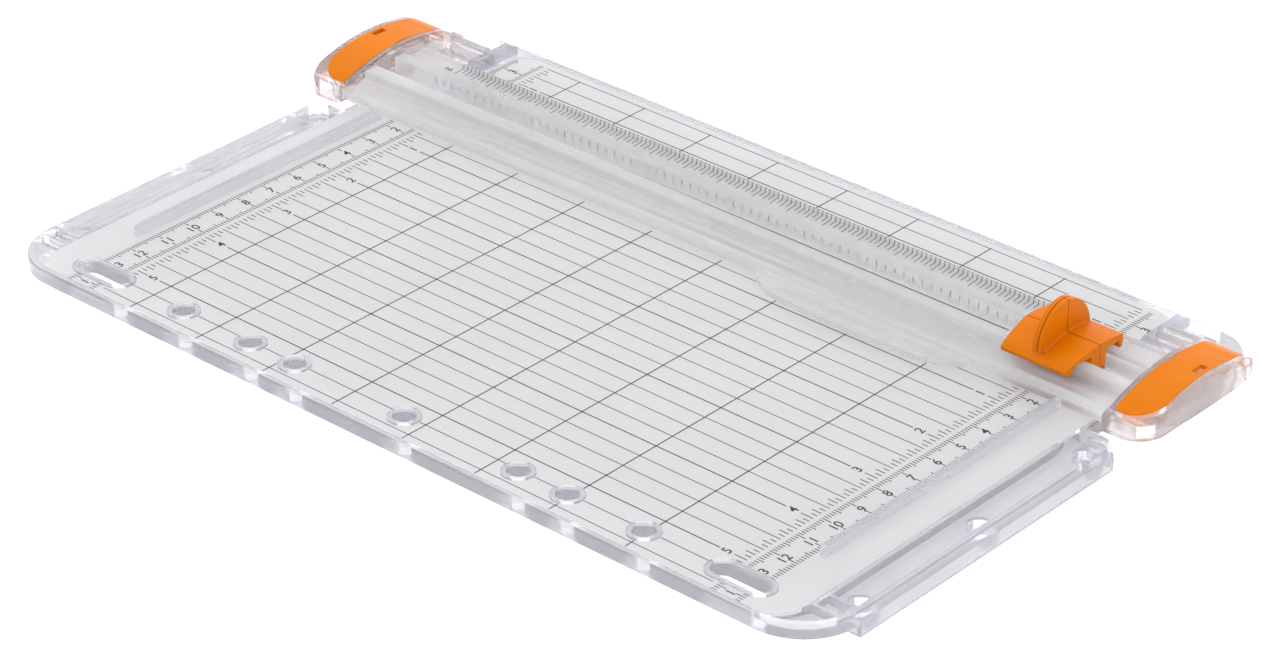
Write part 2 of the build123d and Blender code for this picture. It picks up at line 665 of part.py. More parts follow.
export_step(carriage_rear_shell.part, "parts/carriage_rear_shell.step")

with BuildPart() as carriage_dowels:
    with BuildSketch(FIN_PLANE):
        with Locations((0, 12.6), (0, 16.6)):
            Circle(0.72)
    extrude(amount=3.3, both=True)
carriage_dowels.part.label = "carriage_dowels"
export_step(carriage_dowels.part, "parts/carriage_dowels.step")

# Glide shoe: runs in the rail slot and carries two posts that the shells slide down on.
with BuildPart() as glide_shoe:
    with BuildSketch(DECK.offset(SLOT_FLOOR + 0.06)):
        with Locations((CARRIAGE_X, (SLOT_FRONT + SLOT_REAR) / 2)):
            Rectangle(CARRIAGE_W - 0.6, SLOT_REAR - SLOT_FRONT - 0.16)
    extrude(amount=1.1)
    with BuildSketch(DECK.offset(SLOT_FLOOR + 0.06)):
        with Locations((CARRIAGE_X - 8.5, 0), (CARRIAGE_X + 8.5, 0)):
            Rectangle(3.04, 3.04)
    extrude(amount=5.6)
    with BuildSketch(DECK):
        with Locations((CARRIAGE_X, 0)):
            SlotOverall(2 * BLADE_R + 2.0, 2.0)
        with Locations((CARRIAGE_X, 1.3)):
            Rectangle(2 * CARRIAGE_W, 0.8)
    extrude(amount=2.1, mode=Mode.SUBTRACT)
    with BuildSketch(DECK):
        with Locations((CARRIAGE_X, 0)):
            SlotOverall(2 * BLADE_R + 2.0, 2.0)
    extrude(amount=4, mode=Mode.SUBTRACT)
glide_shoe.part.label = "glide_shoe"
export_step(glide_shoe.part, "parts/glide_shoe.step")

with BuildPart() as blade_axle:
    with BuildSketch(BLADE_PLANE):
        Circle(AXLE_R)
    extrude(amount=2.2, both=True)
blade_axle.part.label = "blade_axle"
export_step(blade_axle.part, "parts/blade_axle.step")

with BuildPart() as blade_hub:
    with BuildSketch(BLADE_PLANE):
        Circle(HUB_R)
        Circle(AXLE_R + 0.04, mode=Mode.SUBTRACT)
    extrude(amount=HUB_HALF_W, both=True)
blade_hub.part.label = "blade_hub"
export_step(blade_hub.part, "parts/blade_hub.step")

with BuildPart() as rotary_blade:
    with BuildSketch(BLADE_PLANE):
        Circle(BLADE_R)
    extrude(amount=BLADE_T / 2, both=True)
    chamfer(rotary_blade.edges(), length=0.12, length2=0.5)
    with BuildSketch(BLADE_PLANE):
        Circle(HUB_R)
    extrude(amount=2, both=True, mode=Mode.SUBTRACT)
rotary_blade.part.label = "rotary_blade"
export_step(rotary_blade.part, "parts/rotary_blade.step")
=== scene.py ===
"""Looks of a clear desk paper trimmer: gridded deck, ruler rail, orange grips and a sliding cutter."""

import math

import bmesh
import bpy
from mathutils import Matrix, Vector
from mathutils.bvhtree import BVHTree


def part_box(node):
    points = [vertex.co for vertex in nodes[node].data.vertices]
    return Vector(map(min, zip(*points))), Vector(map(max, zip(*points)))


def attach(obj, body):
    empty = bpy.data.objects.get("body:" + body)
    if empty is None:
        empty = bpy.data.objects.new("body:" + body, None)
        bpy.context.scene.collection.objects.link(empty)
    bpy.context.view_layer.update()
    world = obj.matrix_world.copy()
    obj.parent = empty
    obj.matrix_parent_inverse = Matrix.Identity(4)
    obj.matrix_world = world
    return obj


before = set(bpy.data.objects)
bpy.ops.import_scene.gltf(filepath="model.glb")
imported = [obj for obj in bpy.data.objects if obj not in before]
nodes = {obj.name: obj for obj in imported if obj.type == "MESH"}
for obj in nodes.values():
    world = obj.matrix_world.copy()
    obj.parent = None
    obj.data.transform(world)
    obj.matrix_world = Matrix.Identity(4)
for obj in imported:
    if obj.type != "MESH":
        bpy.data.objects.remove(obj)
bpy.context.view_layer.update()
scene = bpy.context.scene

MM = 0.001
INCH = 25.4  # in mm

# ---------------------------------------------------------------- places read from the CAD frame
STRIP_LOW, STRIP_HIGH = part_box("cutting_strip")
PANEL_LOW, PANEL_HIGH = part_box("front_grid_panel")
DECK = PANEL_HIGH.z
CUT_Y = (STRIP_LOW.y + STRIP_HIGH.y) / 2
GRID_X0 = -120 * MM  # the zero of the inch scale along the cut
INK = 0.02 * MM  # thickness of the printing


# ---------------------------------------------------------------- materials
class Shader:
    """A new material, with helpers that add nodes and link them."""

    def __init__(self, name):
        self.material = bpy.data.materials.new(name)
        self.material.use_nodes = True
        self.tree = self.material.node_tree
        self.tree.nodes.clear()
        self.output = self.tree.nodes.new("ShaderNodeOutputMaterial")
        self.coords = self.tree.nodes.new("ShaderNodeTexCoord").outputs["Object"]

    def node(self, kind, settings=None, **inputs):
        """Add a node. Base_Color=... sets or links the input "Base Color", and i1=... the second input."""
        made = self.tree.nodes.new(kind)
        for key, value in (settings or {}).items():
            setattr(made, key, value)
        for key, value in inputs.items():
            numbered = key[0] == "i" and key[1:].isdigit()
            socket = made.inputs[int(key[1:]) if numbered else key.replace("_", " ")]
            if isinstance(value, bpy.types.NodeSocket):
                self.tree.links.new(value, socket)
            else:
                socket.default_value = value
        return made

    def out(self, kind, settings=None, **inputs):
        """Add a node and give its first output."""
        return self.node(kind, settings, **inputs).outputs[0]

    def noise(self, scale, detail=3.0, stretch=(1, 1, 1)):
        mapped = self.out("ShaderNodeMapping", Vector=self.coords, Scale=stretch)
        made = self.node("ShaderNodeTexNoise", Vector=mapped, Scale=scale, Detail=detail)
        return made.outputs["Fac"]

    def ramp(self, fac, low, high, low_at=0.3, high_at=0.7):
        """Colours from low to high as fac goes from low_at to high_at."""
        made = self.node("ShaderNodeValToRGB", Fac=fac)
        stops = made.color_ramp.elements
        stops[0].position, stops[0].color = low_at, low
        stops[1].position, stops[1].color = high_at, high
        return made.outputs["Color"]

    def span(self, fac, low, high, low_at=0.3, high_at=0.7):
        """Numbers from low to high as fac goes from low_at to high_at."""
        ends = {"From_Min": low_at, "From_Max": high_at, "To_Min": low, "To_Max": high}
        return self.node("ShaderNodeMapRange", Value=fac, **ends).outputs["Result"]

    def bump(self, height, strength, distance, normal=None):
        made = self.node("ShaderNodeBump", Height=height, Strength=strength, Distance=distance)
        if normal is not None:
            self.tree.links.new(normal, made.inputs["Normal"])
        return made.outputs["Normal"]

    def mix(self, share, first, second):
        """Two shaders in one, where share is the second one's part."""
        return self.out("ShaderNodeMixShader", Fac=share, i1=first, i2=second)

    def lamp_rays(self):
        """1 for the rays by which other surfaces find their light, 0 for the rest."""
        path = self.node("ShaderNodeLightPath")
        rays = {"i0": path.outputs["Is Shadow Ray"], "i1": path.outputs["Is Diffuse Ray"]}
        return self.out("ShaderNodeMath", {"operation": "MAXIMUM"}, **rays)

    def done(self, surface, volume=None):
        self.tree.links.new(surface, self.output.inputs["Surface"])
        if volume is not None:
            self.tree.links.new(volume, self.output.inputs["Volume"])
        return self.material


STYRENE_IOR = 1.45
FACE_ON_TONE = (0.96, 0.96, 0.961, 1)
GLANCING_TONE = (0.66, 0.65, 0.73, 1)  # the pale lavender of the clear parts' edges
DEPTH_TINT = (0.76, 0.75, 0.90, 1)
CLEAR_TO_LAMPS = (0.965, 0.965, 0.975, 1)
SHEET_TO_LAMPS = (0.95, 0.95, 0.95, 1)
SHEET_GLOW = (0.88, 0.885, 0.88, 1)
WHITE = (1.0, 1.0, 1.0, 1)


def clear_plastic(
    name,
    tint=(0.94, 0.94, 0.955, 1),
    milk=(0.90, 0.90, 0.95, 1),
    see=0.74,
    cloud=0.1,
    density=18.0,
):
    """Clear styrene with edge tone and handling haze.

    tint colours the refracting share and milk the cloudy share. see is the share that lets light
    straight through, cloud the cloudy share, and density how fast thick plastic takes on a tint.
    """
    s = Shader(name)
    fine = s.span(s.noise(900, 4), 0.0, 0.02)
    smear = s.span(s.noise(35, 2), 0.0, 0.03, 0.5, 0.8)
    rough = s.out("ShaderNodeMath", {"operation": "ADD"}, i0=fine, i1=smear)
    grain = s.bump(s.noise(120, 2), 0.01, 0.02 * MM)
    refracting = s.out(
        "ShaderNodeBsdfPrincipled",
        Base_Color=tint,
        Roughness=rough,
        IOR=STYRENE_IOR,
        Transmission_Weight=1.0,
        Normal=grain,
    )

    facing = s.node("ShaderNodeLayerWeight", Blend=0.35).outputs["Facing"]
    tone = s.ramp(facing, FACE_ON_TONE, GLANCING_TONE, 0.5, 1.0)
    straight = s.out("ShaderNodeBsdfTransparent", Color=tone)
    gloss = s.out("ShaderNodeBsdfGlossy", Color=WHITE, Roughness=0.07, Normal=grain)
    thin = s.mix(s.out("ShaderNodeFresnel", IOR=STYRENE_IOR), straight, gloss)

    through = s.out("ShaderNodeBsdfTranslucent", Color=milk)
    matt = s.out("ShaderNodeBsdfDiffuse", Color=milk)
    bloom = s.mix(0.5, through, matt)
    haze = s.span(s.noise(60, 3), 0.9 * cloud, 1.1 * cloud)

    seen = s.mix(haze, s.mix(see, refracting, thin), bloom)
    window = s.out("ShaderNodeBsdfTransparent", Color=CLEAR_TO_LAMPS)
    deep = s.out("ShaderNodeVolumeAbsorption", Color=DEPTH_TINT, Density=density)
    return s.done(s.mix(s.lamp_rays(), seen, window), deep)


def moulded(
    name,
    low,
    high,
    rough=(0.3, 0.42),
    grain=0.12,
    scale=2200,
    gloss_level=0.5,
    glow=0.0,
    edge=0.0,
):
    """Opaque plastic, ink or paper with faint colour drift, fine grain and slightly uneven gloss.

    The colour drifts from low to high, and the roughness within rough. grain and scale shape the
    surface grain, glow is light of its own, and edge is the radius that sharp edges seem to have.
    """
    s = Shader(name)
    colour = s.ramp(s.noise(45, 4), low, high)
    gloss = s.span(s.noise(160, 4), rough[0], rough[1])
    rounded = s.out("ShaderNodeBevel", {"samples": 4}, Radius=edge) if edge else None
    fine = s.bump(s.noise(scale, 3), grain, 0.03 * MM, rounded)
    sag = s.bump(s.noise(90, 2), 0.08, 0.1 * MM, fine)
    body = s.out(
        "ShaderNodeBsdfPrincipled",
        Base_Color=colour,
        Roughness=gloss,
        Normal=sag,
        Specular_IOR_Level=gloss_level,
        Emission_Color=WHITE,
        Emission_Strength=glow,
    )
    return s.done(body)


def sheet_plastic(name, low, high):
    """Thin satin sheet that lets part of the light through to what is under it."""
    s = Shader(name)
    colour = s.ramp(s.noise(30, 4), low, high)
    fine = s.bump(s.noise(3000, 3), 0.03, 0.02 * MM)
    body = s.out(
        "ShaderNodeBsdfPrincipled",
        Base_Color=colour,
        Roughness=s.span(s.noise(140, 4), 0.3, 0.42),
        Normal=fine,
        Coat_Weight=0.3,
        Coat_Roughness=0.1,
    )
    seen = s.mix(0.36, body, s.out("ShaderNodeBsdfTranslucent", Color=SHEET_GLOW))
    share = s.out("ShaderNodeMath", {"operation": "MULTIPLY"}, i0=s.lamp_rays(), i1=0.75)
    window = s.out("ShaderNodeBsdfTransparent", Color=SHEET_TO_LAMPS)
    return s.done(s.mix(share, seen, window))


def metal(name, colour, rough, stretch):
    """Ground steel with fine directional scratches."""
    s = Shader(name)
    lines = s.noise(900, 5, stretch)
    base = s.ramp(lines, tuple(0.8 * c for c in colour) + (1,), tuple(colour) + (1,))
    body = s.out(
        "ShaderNodeBsdfPrincipled",
        Base_Color=base,
        Metallic=1.0,
        Roughness=s.span(lines, rough, rough + 0.15),
        Normal=s.bump(lines, 0.15, 0.01 * MM),
    )
    return s.done(body)


TRAY_CLEAR = clear_plastic("tray_clear")
RAIL_CLEAR = clear_plastic(
    "rail_clear",
    tint=(0.98, 0.98, 0.98, 1),
    milk=(0.84, 0.835, 0.825, 1),
    see=0.94,
    cloud=0.3,
    density=6.0,
)
# The pinkish tint and cloudy share are a painted reflection of the orange grip inserts inside the caps.
CAP_CLEAR = clear_plastic(
    "cap_clear",
    tint=(0.98, 0.96, 0.955, 1),
    milk=(0.98, 0.88, 0.85, 1),
    see=0.75,
    density=16.0,
)
FENCE_CLEAR = clear_plastic("fence_clear", see=0.9, density=40.0)
PANEL = sheet_plastic("panel_print", (0.545, 0.553, 0.545, 1), (0.575, 0.582, 0.574, 1))
ORANGE = moulded(
    "orange_mould",
    (0.72, 0.18, 0.0, 1),
    (0.79, 0.205, 0.0, 1),
    rough=(0.26, 0.36),
    grain=0.08,
    gloss_level=0.12,
    edge=0.4 * MM,
)
STRIP = moulded("strip_mat", (0.56, 0.57, 0.58, 1), (0.62, 0.63, 0.645, 1), (0.45, 0.6), 0.2)
INK_BLACK = moulded("ink_black", (0.012, 0.012, 0.014, 1), (0.02, 0.02, 0.023, 1), (0.35, 0.5), 0.02)
INK_GREY = moulded("ink_grey", (0.035, 0.036, 0.038, 1), (0.05, 0.051, 0.053, 1), (0.35, 0.5), 0.02)
# Violet of painted images of ticks: their reflection in the rail and the deck ladder seen through the
# fences.
VIOLET_TICK_IMAGES = moulded("violet_painted_tick_images", (0.30, 0.285, 0.37, 1), (0.36, 0.345, 0.44, 1), (0.35, 0.5), 0.02)
DARK = moulded("dark_mould", (0.016, 0.016, 0.018, 1), (0.03, 0.03, 0.032, 1), (0.45, 0.6), 0.3)
FOOT = moulded("foot_rubber", (0.66, 0.66, 0.70, 1), (0.74, 0.74, 0.78, 1), (0.6, 0.8), 0.4)
STEEL = metal("steel_plain", (0.62, 0.62, 0.64), 0.25, (1, 12, 12))
BLADE = metal("steel_blade", (0.72, 0.73, 0.75), 0.16, (8, 1, 8))
WIRE = moulded("wire_black", (0.01, 0.01, 0.012, 1), (0.02, 0.02, 0.022, 1), (0.3, 0.4), 0.1)
FLOOR_PAPER = moulded(
    "floor_paper",
    (0.93, 0.93, 0.93, 1),
    (0.95, 0.95, 0.95, 1),
    rough=(0.8, 0.9),
    grain=0.02,
    scale=400,
    glow=0.5,
)

FINISH = {
    "base_tray": TRAY_CLEAR,
    "front_grid_panel": PANEL,
    "rear_grid_panel": PANEL,
    "cutting_strip": STRIP,
    "paper_fence_right": FENCE_CLEAR,
    "paper_fence_left": FENCE_CLEAR,
    "hinge_lug_right": FENCE_CLEAR,
    "hinge_lug_left": FENCE_CLEAR,
    "hinge_pins": CAP_CLEAR,
    "feet": FOOT,
    "cutting_rail": RAIL_CLEAR,
    "cut_line_wire": WIRE,
    "end_cap_right": CAP_CLEAR,
    "end_cap_left": CAP_CLEAR,
    "grip_insert_right": ORANGE,
    "grip_insert_left": ORANGE,
    "cap_screws": STEEL,
    "carriage_front_shell": ORANGE,
    "carriage_rear_shell": ORANGE,
    "carriage_dowels": STEEL,
    "glide_shoe": ORANGE,
    "blade_axle": STEEL,
    "blade_hub": DARK,
    "rotary_blade": BLADE,
}
for node_name, finish in FINISH.items():
    mesh_slots = nodes[node_name].data.materials
    mesh_slots.clear()
    mesh_slots.append(finish)


# ---------------------------------------------------------------- printed marks
CAP_HEIGHT = 0.73  # height of a figure over the font's size
BOLDER = 0.015  # how much the figures are thickened, over their height


class Print:
    """Collects thin closed solids, such as printed marks and figures, into one mesh."""

    def __init__(self):
        self.bm = bmesh.new()

    def ring(self, points):
        return [self.bm.verts.new(point) for point in points]

    def wall(self, start, end):
        """The band of faces between two rings of as many corners."""
        for i in range(len(start)):
            j = (i + 1) % len(start)
            self.bm.faces.new((start[i], start[j], end[j], end[i]))

    def box(self, x0, x1, y0, y1, z, thick=INK):
        """A flat mark on a level surface at height z."""
        self.prism([(x0, y0), (x1, y0), (x1, y1), (x0, y1)], z, thick)

    def prism(self, outline, z, thick=INK):
        low = self.ring([(x, y, z) for x, y in outline])
        high = self.ring([(x, y, z + thick) for x, y in outline])
        self.bm.faces.new(low[::-1])
        self.bm.faces.new(high)
        self.wall(low, high)

    def strip(self, x, width, path):
        """A mark across the rail at x, along a path of (y, z), thickened to the left of travel."""
        for (y0, z0), (y1, z1) in zip(path[:-1], path[1:]):
            length = math.hypot(y1 - y0, z1 - z0)
            ny, nz = -(z1 - z0) / length * INK, (y1 - y0) / length * INK
            section = [(y0, z0), (y1, z1), (y1 + ny, z1 + nz), (y0 + ny, z0 + nz)]
            left = self.ring([(x - width / 2, y, z) for y, z in section])
            right = self.ring([(x + width / 2, y, z) for y, z in section])
            self.bm.faces.new(left[::-1])
            self.bm.faces.new(right)
            self.wall(left, right)

    def text(self, words, x, y, z, height, turn):
        """Figures with their middle at x, y, turned about +Z by turn degrees."""
        curve = bpy.data.curves.new("figure", "FONT")
        curve.body = words
        curve.size = height / CAP_HEIGHT
        curve.resolution_u = 4
        curve.extrude = INK / 2
        curve.offset = BOLDER * height
        thing = bpy.data.objects.new("figure", curve)
        mesh = bpy.data.meshes.new_from_object(thing)
        low = Vector([min(v.co[i] for v in mesh.vertices) for i in range(3)])
        high = Vector([max(v.co[i] for v in mesh.vertices) for i in range(3)])
        middle = (low + high) / 2
        move = Matrix.Translation((x, y, z + INK / 2)) @ Matrix.Rotation(math.radians(turn), 4, "Z")
        mesh.transform(move @ Matrix.Translation(-middle))
        self.bm.from_mesh(mesh)
        bpy.data.objects.remove(thing)
        bpy.data.curves.remove(curve)
        bpy.data.meshes.remove(mesh)

    def make(self, name, material, body, slot):
        bmesh.ops.recalc_face_normals(self.bm, faces=self.bm.faces)
        mesh = bpy.data.meshes.new(name)
        self.bm.to_mesh(mesh)
        self.bm.free()
        mesh.materials.append(material)
        thing = bpy.data.objects.new(name, mesh)
        scene.collection.objects.link(thing)
        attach(thing, body)


PRINT_Z = DECK + 0.005 * MM
FRONT_END = PANEL_LOW.y + 0.1 * MM
THIN, THICK, TICK = 0.28 * MM, 0.36 * MM, 0.32 * MM
SHORTEST = 0.3 * MM  # a shorter piece of line is left out


def deck_x(value):
    """A place along the cut, in mm from the scale's zero."""
    return GRID_X0 + value * MM


def deck_y(value):
    """A place across the cut, in mm from the cut line, positive to the rear."""
    return CUT_Y + value * MM


MIDDLE = 120  # the tray's middle on the inch scale, in mm
HOLE_ROW = -134.0
HOLE_X = (-82.2, -56.7, -40, 0, 40, 56.7, 82.2)
SLOT_X = (-113.6, 113.6)
SLOT_HALF = 4.6 * MM
COLLAR = 4.85 * MM
# (x, y, how far lines keep off it each way, besides the collar's radius) for each opening
HOLES = [(deck_x(MIDDLE + x), deck_y(HOLE_ROW), 0.0) for x in HOLE_X]
HOLES += [(deck_x(MIDDLE + x), deck_y(HOLE_ROW), SLOT_HALF) for x in SLOT_X]


def cut_out(start, end, gaps):
    """The pieces of a stretch that are left outside the gaps."""
    pieces = [(start, end)]
    for low, high in gaps:
        kept = []
        for a, b in pieces:
            if high <= a or low >= b:
                kept.append((a, b))
                continue
            if low > a:
                kept.append((a, low))
            if high < b:
                kept.append((high, b))
        pieces = kept
    return [(a, b) for a, b in pieces if b - a > SHORTEST]


def clear_along(x0, x1, y):
    """The pieces of a line along X that don't cross the binder holes."""
    gaps = []
    for hx, hy, half in HOLES:
        reach = COLLAR**2 - (y - hy) ** 2
        if reach > 0:
            gaps.append((hx - half - math.sqrt(reach), hx + half + math.sqrt(reach)))
    return cut_out(x0, x1, gaps)


def clear_across(x, y0, y1):
    """The pieces of a line along Y that don't cross the binder holes."""
    gaps = []
    for hx, hy, half in HOLES:
        reach = COLLAR**2 - max(abs(x - hx) - half, 0) ** 2
        if reach > 0:
            gaps.append((hy - math.sqrt(reach), hy + math.sqrt(reach)))
    return cut_out(y0, y1, gaps)


fine = Print()
bold = Print()
figures = Print()


def line_x(where, x0, x1, y, width):
    for a, b in clear_along(x0, x1, y):
        where.box(a, b, y - width / 2, y + width / 2, PRINT_Z)


def line_y(where, x, y0, y1, width):
    for a, b in clear_across(x, y0, y1):
        where.box(x - width / 2, x + width / 2, a, b, PRINT_Z)


def coarsest(place, table):
    """The value of the coarsest division that a place falls on, from ((division, value), ...)."""
    return next(value for division, value in table if place % division == 0)


# Grid ahead of and behind the rail: inch lines both ways, and quarter-inch lines along the cut.
INCH_LINE_X = (deck_x(21.0), deck_x(220.9))
FRONT_QUARTER_X = (deck_x(12.4), deck_x(229.6))
REAR_QUARTER_X = (deck_x(12.4), deck_x(229.0))
RAIL_GAP = 6.0  # nothing is printed this near the cut line
REAR_END = 38.4
for k in range(1, 9):
    line_y(bold, deck_x(INCH * k), FRONT_END, deck_y(-RAIL_GAP), THICK)
    line_y(bold, deck_x(INCH * k), deck_y(RAIL_GAP), deck_y(REAR_END), THICK)
for quarter in [*range(-1, -23, -1), *range(2, 7)]:
    y = deck_y(INCH * quarter / 4)
    if quarter % 4 == 0:
        line_x(bold, *INCH_LINE_X, y, THICK)
    else:
        line_x(fine, *(FRONT_QUARTER_X if quarter < 0 else REAR_QUARTER_X), y, THIN)


def tick_row(columns, y, length):
    """One tick in each column. A column is (x of its ticks' roots, 1 or -1 for the way they point)."""
    for root, way in columns:
        ends = sorted((root, root + way * length))
        line_x(fine, deck_x(ends[0]), deck_x(ends[1]), y, TICK)


# Tick ladders in sixteenths of an inch beside the grid, where the quarter-inch lines leave room.
INCH_COLUMNS = ((12.3, 1), (229.6, -1))
INCH_TICKS = ((16, 4.0), (2, 3.0), (1, 1.9))
for sixteenth in [*range(-88, -3), *range(4, 25)]:
    if sixteenth % 16 == 0 or sixteenth % 4:
        tick_row(INCH_COLUMNS, deck_y(INCH * sixteenth / 16), coarsest(sixteenth, INCH_TICKS))

# Tick ladders in millimetres, two at each side. The outer two end sooner at the rear.
MM_COLUMNS = ((0.9, 1), (10.9, -1), (231.0, 1), (240.2, -1))
MM_TICKS = ((10, 3.1), (5, 2.3), (1, 1.6))
OUTER_END = 36
for millimetre in [*range(-142, -5), *range(6, 39)]:
    columns = MM_COLUMNS if millimetre <= OUTER_END else MM_COLUMNS[1:3]
    tick_row(columns, deck_y(millimetre), coarsest(millimetre, MM_TICKS))

# Figures: centimetres between the two millimetre ladders, inches at the ends of the inch lines.
# Of 13 and 14 only the digits that are clear of the end slots' collars are printed.
FIGURE = 2.95 * MM
CM_FIGURE_X = (5.95, 235.85)
INCH_FIGURE_X = (18.4, 223.1)
CM_FIGURES = [(str(k), -10 * k) for k in range(1, 13)]
CM_FIGURES += [("3", -128.1), ("1", -140.6)]
CM_FIGURES += [(str(k), 10 * k) for k in (1, 2, 3)]
INCH_FIGURES = [(str(k), -INCH * k) for k in range(1, 6)] + [("1", INCH)]
for columns, placed in ((CM_FIGURE_X, CM_FIGURES), (INCH_FIGURE_X, INCH_FIGURES)):
    for words, y in placed:
        for x in columns:
            figures.text(words, deck_x(x), deck_y(y), PRINT_Z, FIGURE, 90)

fine.make("deck_fine_lines", INK_GREY, "base", "printed_panel")
bold.make("deck_bold_lines", INK_BLACK, "base", "printed_panel")
figures.make("deck_figures", INK_BLACK, "base", "printed_panel")

# ---------------------------------------------------------------- ruler on the rail's rear ledge
# (y, z) of the rail's section, in mm from the cut line on the deck
LEDGE_FRONT = (7.5, 4.0)
LEDGE_REAR = (15.2, 4.6)
LIP_FRONT = (15.3, 5.6)


def ledge_z(y):
    """Height of the ledge at y mm behind the cut line, in mm above the deck."""
    (y0, z0), (y1, z1) = LEDGE_FRONT, LEDGE_REAR
    return z0 + (z1 - z0) * (y - y0) / (y1 - y0)


def rail_point(y, z):
    """A place just above the rail's surface, from mm behind the cut line and above the deck."""
    return CUT_Y + y * MM, DECK + (z + 0.01) * MM


RULE = 0.3 * MM  # width of the rail's scale marks
RULE_INCHES = 9
RULE_STARTS = ((16, 10.9), (8, 11.3), (4, 11.7), (2, 12.2), (1, 12.8))
RULE_FIGURE_Y, RULE_FIGURE = 10.0, 1.5 * MM
UNIT_X, UNIT_Y, UNIT_FIGURE = -3.2, 12.2, 1.9 * MM
HOOK_STEPS = 3  # each mark runs on over the lip's top in this many short steps
HOOK_LENGTH = 0.95
HOOK_LEAN = 0.75  # how far to the left it would curve over its whole length
# Painted reflection of the ruler's ticks: violet marks every eighth of an inch, inside the plastic.
REFLECTED_TICK_WIDTH = 0.34 * MM
REFLECTED_TICK_Y = 3.49  # inside the plastic, just behind the blade slot's rear wall
ruler = Print()
tick_reflection = Print()
for sixteenth in range(RULE_INCHES * 16 + 1):
    x = deck_x(INCH * sixteenth / 16)
    start = coarsest(sixteenth, RULE_STARTS)
    ruler.strip(x, RULE, [rail_point(start, ledge_z(start)), rail_point(*LEDGE_REAR)])
    lip_low = rail_point(LEDGE_REAR[0] - 0.03, LEDGE_REAR[1])
    lip_high = rail_point(LIP_FRONT[0] - 0.03, LIP_FRONT[1] - 0.1)
    ruler.strip(x, RULE, [lip_low, lip_high])
    for step in range(HOOK_STEPS):
        y0, y1 = (LIP_FRONT[0] + HOOK_LENGTH * i / HOOK_STEPS for i in (step, step + 1))
        lean = HOOK_LEAN * ((step + 0.5) / HOOK_STEPS) ** 1.3 * MM
        ruler.strip(x - lean, RULE, [rail_point(y0, LIP_FRONT[1]), rail_point(y1, LIP_FRONT[1])])
    # Every second tick gets a painted reflection, taller at each half inch.
    if sixteenth % 2 == 0:
        low, high = (4.0, 6.0) if sixteenth % 8 == 0 else (4.4, 5.8)
        tick_reflection.strip(x, REFLECTED_TICK_WIDTH, [rail_point(REFLECTED_TICK_Y, low), rail_point(REFLECTED_TICK_Y - 0.001, high)])
for inch in range(RULE_INCHES + 1):
    z = DECK + (ledge_z(RULE_FIGURE_Y) + 0.08) * MM
    ruler.text(str(inch), deck_x(INCH * inch), deck_y(RULE_FIGURE_Y), z, RULE_FIGURE, 180)
unit_z = DECK + (ledge_z(UNIT_Y) + 0.1) * MM
ruler.text("IN", deck_x(UNIT_X), deck_y(UNIT_Y), unit_z, UNIT_FIGURE, 180)
ruler.make("rail_ruler_marks", INK_BLACK, "rail_arm", "dark_wire")
tick_reflection.make("rail_painted_tick_reflections", VIOLET_TICK_IMAGES, "rail_arm", "dark_wire")

# Painted refraction on top of each fence: the deck's own millimetre ladder, as it shows magnified through
# it.
LADDER_INSET = 0.5 * MM
LADDER_TICK = 1.5 * MM
LADDER_LIFT, LADDER_IMAGE_THICK = 0.003 * MM, 0.01 * MM
ladder = Print()
for fence, way in (("paper_fence_left", 1), ("paper_fence_right", -1)):
    low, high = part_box(fence)
    inner = (high.x if way > 0 else low.x) - way * LADDER_INSET
    ends = sorted((inner, inner - way * LADDER_TICK))
    steps = int((high.y - low.y) / MM)
    for step in range(2, steps - 1):
        y = low.y + step * MM
        ladder.box(*ends, y - TICK / 2, y + TICK / 2, high.z + LADDER_LIFT, LADDER_IMAGE_THICK)
ladder.make("fence_painted_ladder_images", VIOLET_TICK_IMAGES, "base", "printed_panel")

# Painted refraction: a black line along the rear top edge of the front ridge, tapering away to the left,
# standing in for a dark line seen through the rail.
DARK_LINE_OUTLINE = ((70, -4.12), (216, -4.12), (216, -4.60), (130, -4.50))
RIDGE_TOP = DECK + 7.005 * MM
dark_line_image = Print()
dark_line_image.prism([(deck_x(x), deck_y(y)) for x, y in DARK_LINE_OUTLINE], RIDGE_TOP)
dark_line_image.make("rail_painted_dark_line", INK_BLACK, "rail_arm", "dark_wire")

# ---------------------------------------------------------------- carriage details
FRONT_LOW, FRONT_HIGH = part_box("carriage_front_shell")
FIN_X = (FRONT_LOW.x + FRONT_HIGH.x) / 2
SHELL_TREES = [
    BVHTree.FromPolygons([v.co for v in m.vertices], [tuple(f.vertices) for f in m.polygons])
    for m in (nodes["carriage_front_shell"].data, nodes["carriage_rear_shell"].data)
]
ABOVE = 0.1  # a height above the whole object, in metres
ROOF_AT, SEARCH_FROM, SEARCH_STEP = 6 * MM, 4 * MM, 0.05 * MM
FIN_RISE = 1.2 * MM  # higher above the roof than this is the fin


def top_at(x, y):
    """Height of the carriage at x, y."""
    hits = [tree.ray_cast(Vector((x, y, ABOVE)), Vector((0, 0, -1)))[0] for tree in SHELL_TREES]
    return max([hit.z for hit in hits if hit], default=None)


def fin_side(y, way):
    """x of the fin's flank at y, searched for from outside on the side that way points to."""
    roof = top_at(FIN_X + way * ROOF_AT, y)
    x = FIN_X + way * SEARCH_FROM
    while top_at(x, y) < roof + FIN_RISE:
        x -= way * SEARCH_STEP
    return x


